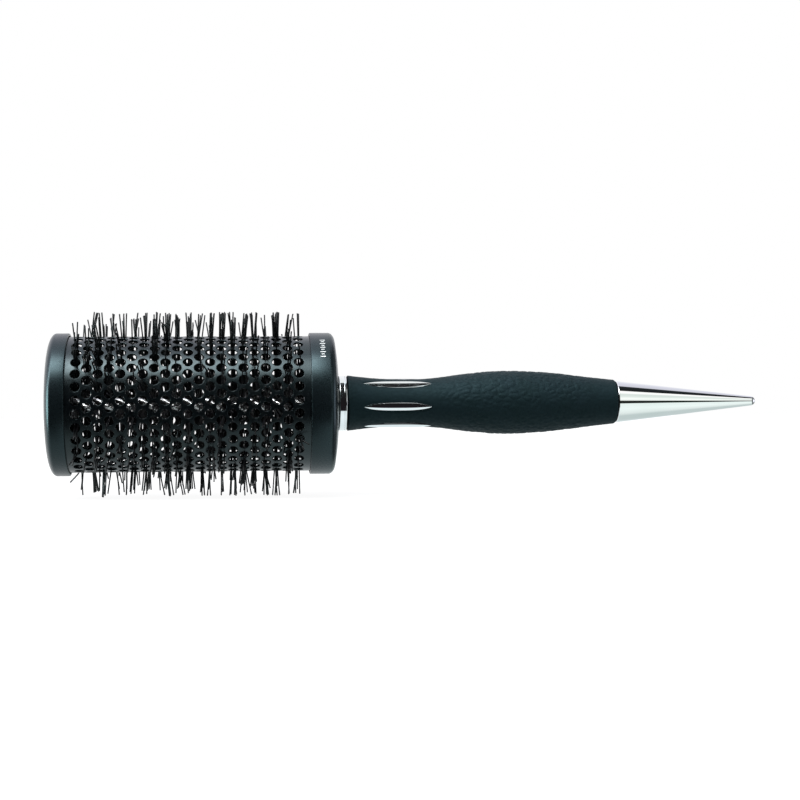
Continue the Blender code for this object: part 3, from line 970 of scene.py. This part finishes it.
STUDIO_NECK = (
    (-180, 0.88, 0.94, 0.95),
    (-110, 0.74, 0.84, 0.87),
    (-60, 0.84, 0.94, 0.97),
    (-34, 0.80, 0.90, 0.93),
    (-31, 0.012, 0.010, 0.012),
    (20, 0.010, 0.009, 0.010),
    (60, 0.020, 0.022, 0.023),
    (93, 0.025, 0.028, 0.030),
    (96, 0.82, 0.86, 0.87),
    (140, 0.95, 0.97, 1.00),
    (180, 1.00, 1.00, 1.00),
)
STUDIO_TAIL = (
    (-180, 0.55, 0.62, 0.62),
    (-92, 0.55, 0.64, 0.63),
    (-74, 0.78, 0.86, 0.84),
    (-45, 0.90, 1.00, 0.97),
    (-12, 0.84, 0.94, 0.91),
    (-10, 0.01, 0.015, 0.012),
    (4, 0.01, 0.015, 0.012),
    (6.5, 0.78, 0.83, 0.79),
    (14, 1.02, 1.05, 1.02),
    (20, 1.00, 1.04, 1.00),
    (30, 0.78, 0.86, 0.81),
    (44, 0.72, 0.79, 0.75),
    (52, 1.10, 1.10, 1.08),
    (63, 1.10, 1.10, 1.08),
    (66, 0.01, 0.012, 0.012),
    (97, 0.02, 0.025, 0.028),
    (101, 0.66, 0.66, 0.74),
    (125, 0.72, 0.72, 0.82),
    (160, 0.86, 0.86, 0.93),
    (180, 0.95, 0.95, 1.00),
)
# A ramp's colours reach 1.0 at most, so they are stored smaller and the world is that much stronger.
STUDIO_GAIN = 10.0

# Where one part of the studio gives way to the next, by the X of the direction, and the plain parts' colours.
TO_COLLAR = (0.018, 0.028)
TO_NECK = (0.036, 0.046)
TO_TAIL = (0.20, 0.34)
TO_DARK_GAP = (0.52, 0.58)
TO_END_WALL = (0.62, 0.72)
TO_LEFT_LAMP = (-0.93, -0.985)
TO_RIGHT_LAMP = (0.90, 0.97)
DARK_GAP = (0.006, 0.007, 0.007, 1.0)
END_WALL = (0.024, 0.026, 0.027, 1.0)
LEFT_LAMP = (0.85, 1.10, 1.10, 1.0)
RIGHT_LAMP = (0.16, 0.16, 0.18, 1.0)
WHITE = (1.0, 1.0, 1.0, 1.0)


def studio_ramp(tree, place, stops):
    """The studio's colour at a place from 0 to 1, which stand for angles of -180 and 180 degrees."""
    ramp = tree.nodes.new("ShaderNodeValToRGB")
    tree.links.new(place, ramp.inputs["Fac"])
    elements = ramp.color_ramp.elements
    while len(elements) < len(stops):
        elements.new(0.5)
    for element, (angle, red, green, blue) in zip(elements, stops):
        element.position = (angle + 180.0) / 360.0
        element.color = (red / STUDIO_GAIN, green / STUDIO_GAIN, blue / STUDIO_GAIN, 1.0)
    return ramp.outputs["Color"]


def add_world():
    """The camera sees a plain white backdrop. All other rays see the studio's lights and dark gaps."""
    world = bpy.data.worlds.new("studio")
    bpy.context.scene.world = world
    world.use_nodes = True
    tree = world.node_tree
    tree.nodes.clear()

    def feed(made, inputs):
        for index, value in inputs.items():
            if isinstance(value, bpy.types.NodeSocket):
                tree.links.new(value, made.inputs[index])
            else:
                made.inputs[index].default_value = value

    def node(kind, *inputs):
        made = tree.nodes.new(kind)
        feed(made, dict(enumerate(inputs)))
        return made

    def math_node(operation, *inputs):
        made = node("ShaderNodeMath", *inputs)
        made.operation = operation
        return made.outputs[0]

    def turned_to(colour, limits, other):
        """colour, which turns into other as the direction's X passes from one limit to the next."""
        share = node("ShaderNodeMapRange", parts["X"], *limits, 0.0, 1.0)
        share.interpolation_type = "SMOOTHSTEP"
        made = tree.nodes.new("ShaderNodeMix")
        made.data_type = "RGBA"
        made.clamp_factor = False
        feed(made, {0: share.outputs[0], 6: colour, 7: other})
        return made.outputs[2]

    direction = tree.nodes.new("ShaderNodeTexCoord").outputs["Generated"]
    parts = node("ShaderNodeSeparateXYZ", direction).outputs
    facing = math_node("MULTIPLY", parts["Y"], -1.0)
    turn = math_node("ARCTAN2", parts["Z"], facing)
    place = math_node("MULTIPLY_ADD", turn, 1.0 / math.tau, 0.5)
    colour = studio_ramp(tree, place, STUDIO_BARREL)
    colour = turned_to(colour, TO_COLLAR, studio_ramp(tree, place, STUDIO_COLLAR))
    colour = turned_to(colour, TO_NECK, studio_ramp(tree, place, STUDIO_NECK))
    colour = turned_to(colour, TO_TAIL, studio_ramp(tree, place, STUDIO_TAIL))
    colour = turned_to(colour, TO_DARK_GAP, DARK_GAP)
    colour = turned_to(colour, TO_END_WALL, END_WALL)
    colour = turned_to(colour, TO_LEFT_LAMP, LEFT_LAMP)
    colour = turned_to(colour, TO_RIGHT_LAMP, RIGHT_LAMP)
    studio = node("ShaderNodeBackground", colour, STUDIO_GAIN)
    white = node("ShaderNodeBackground", WHITE, 1.0)
    rays = tree.nodes.new("ShaderNodeLightPath").outputs["Is Camera Ray"]
    mix = tree.nodes.new("ShaderNodeMixShader")
    out = tree.nodes.new("ShaderNodeOutputWorld")
    tree.links.new(rays, mix.inputs[0])
    tree.links.new(studio.outputs[0], mix.inputs[1])
    tree.links.new(white.outputs[0], mix.inputs[2])
    tree.links.new(mix.outputs[0], out.inputs["Surface"])


FLOOR_HALF = 3.0
FLOOR_GAP = 0.4 * MM
FLOOR_GLOW = 0.93
FLOOR_GREY = (0.12, 0.12, 0.12, 1.0)


def add_floor():
    """A plain white floor under the bristles, which takes a faint shadow.

    It isn't seen in reflections or diffuse light, and it casts no shadow.
    """
    half, z = FLOOR_HALF, CAD_BOX[0].z - FLOOR_GAP
    verts = [(-half, -half, z), (half, -half, z), (half, half, z), (-half, half, z)]
    material = bpy.data.materials.new("floor_white")
    material.use_nodes = True
    tree = material.node_tree
    tree.nodes.clear()
    glow = tree.nodes.new("ShaderNodeEmission")
    glow.inputs["Strength"].default_value = FLOOR_GLOW
    matt = tree.nodes.new("ShaderNodeBsdfDiffuse")
    matt.inputs["Color"].default_value = FLOOR_GREY
    both = tree.nodes.new("ShaderNodeAddShader")
    out = tree.nodes.new("ShaderNodeOutputMaterial")
    tree.links.new(glow.outputs[0], both.inputs[0])
    tree.links.new(matt.outputs[0], both.inputs[1])
    tree.links.new(both.outputs[0], out.inputs["Surface"])
    floor = add_mesh("floor", verts, [(0, 1, 2, 3)], material, sharp=None)
    floor.visible_glossy = False
    floor.visible_diffuse = False
    floor.visible_shadow = False


def add_light(name, place, target, size, power, colour, in_reflections):
    """A soft box at a place, turned to its target. Its size is in metres and its power in watts."""
    data = bpy.data.lights.new(name, "AREA")
    data.shape = "RECTANGLE"
    data.size, data.size_y = size
    data.energy = power
    data.color = colour
    obj = bpy.data.objects.new(name, data)
    bpy.context.scene.collection.objects.link(obj)
    obj.location = place
    obj.rotation_euler = (Vector(target) - Vector(place)).to_track_quat("-Z", "Y").to_euler()
    obj.visible_camera = False
    obj.visible_glossy = in_reflections
    return obj


def light_only(lamp, name, pieces):
    """The lamp lights only these pieces, and nothing stands in its way."""
    lit = bpy.data.collections.new(name)
    for piece in pieces:
        lit.objects.link(bpy.data.objects[piece])
    lamp.light_linking.receiver_collection = lit
    lamp.light_linking.blocker_collection = lit


def add_lights():
    """Two soft boxes in front, one above and one below, and a lamp for the core wires alone."""
    middle = ((CAD_BOX[0].x + CAD_BOX[1].x) / 2, 0.0, 0.0)
    add_light("key", (0.0, -0.45, 0.75), middle, (0.9, 0.35), 2.5, (0.93, 1.0, 1.0), False)
    add_light("fill", (0.15, -0.7, -0.5), middle, (0.9, 0.3), 1.0, (0.92, 0.97, 1.0), False)
    barrel = ((BARREL_START + BARREL_END) / 2, 0.0, 0.0)
    place, size, white = (0.24, -0.58, 0.35), (0.22, 0.22), (1.0, 1.0, 1.0)
    lamp = add_light("wire_lamp", place, barrel, size, 4.0, white, True)
    light_only(lamp, "wires", ("wire_a", "wire_b"))


# Camera: a long lens in front of the brush, a little towards its barrel end. Lens and sensor are in
# millimetres, and angles in degrees.
LENS = 78.0
SENSOR = 36.0
CAMERA_DISTANCE = 0.665
CAMERA_AZIMUTH = -5.3
AIM = Vector((0.1325, 0.0, 0.0011))
CAMERA_ROLL = -0.33


def add_camera():
    data = bpy.data.cameras.new("camera")
    data.lens = LENS
    data.sensor_width = SENSOR
    data.clip_start, data.clip_end = 0.01, 50.0
    obj = bpy.data.objects.new("camera", data)
    bpy.context.scene.collection.objects.link(obj)
    azimuth = math.radians(CAMERA_AZIMUTH)
    back = Vector((math.sin(azimuth), -math.cos(azimuth), 0.0))
    obj.location = AIM + back * CAMERA_DISTANCE
    looking = (-back).to_track_quat("-Z", "Y").to_matrix()
    roll = Matrix.Rotation(math.radians(CAMERA_ROLL), 3, "Z")
    obj.rotation_euler = (looking @ roll).to_euler()
    bpy.context.scene.camera = obj


def main():
    add_barrel()
    add_front_cap()
    add_rear_cap()
    add_collar_mark()
    add_wires()
    add_bristles()
    add_grip()
    for index in range(INLAYS):
        add_inlay(index)
    add_ferrule()
    add_tail()
    dress_inner_nodes()
    add_world()
    add_floor()
    add_lights()
    add_camera()
    bpy.context.scene.view_settings.view_transform = "Standard"


main()
